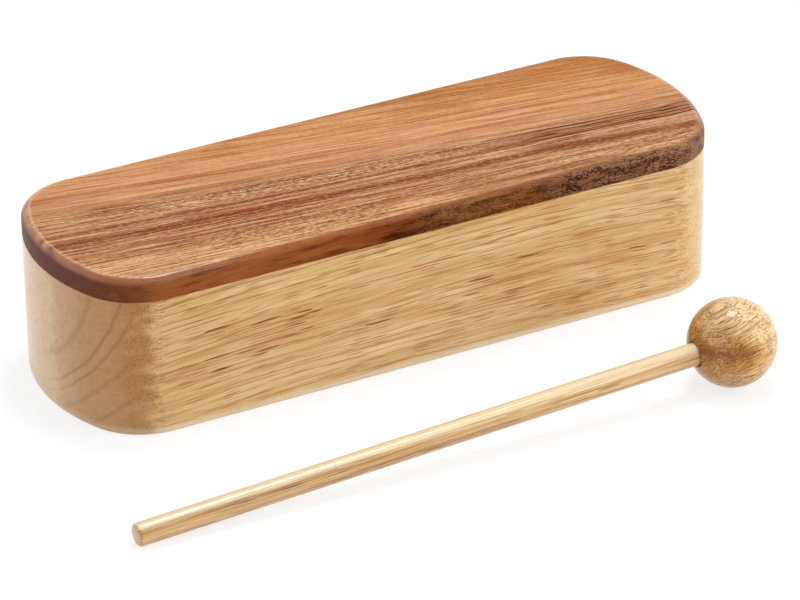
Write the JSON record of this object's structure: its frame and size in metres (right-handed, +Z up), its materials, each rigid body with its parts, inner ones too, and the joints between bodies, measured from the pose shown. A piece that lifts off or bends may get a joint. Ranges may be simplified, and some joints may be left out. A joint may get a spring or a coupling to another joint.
{
  "type": "wood block",
  "caption": "Long wood block with crowned ends, a dark striking plate over a resonance slot in the back, and a loose ball-headed wooden beater.",
  "frame": {"origin": "centre of the block's flat underside", "axes": "+X along the block, +Y towards the back where the resonance chamber opens, +Z up through the striking plate"},
  "size_m": [0.2553, 0.1564, 0.057],
  "materials": {
    "body_wood": "pale straw hardwood with fine brown pores under a satin varnish",
    "plate_wood": "orange brown hardwood with dark reddish streaks under a satin varnish",
    "shaft_wood": "pale straight-grained dowel under a gloss varnish",
    "ball_wood": "amber hardwood with short dark pores under a gloss varnish"
  },
  "bodies": {
    "block": {"resonator_body": "body_wood", "striking_plate": "plate_wood"},
    "beater": {"beater_shaft": "shaft_wood", "beater_ball": "ball_wood"}
  },
  "joints": [
    {"name": "beater_lift", "type": "slide", "parent": "block", "child": "beater", "axis": [0, 0, 1], "range_m": [0, 0.12]}
  ]
}
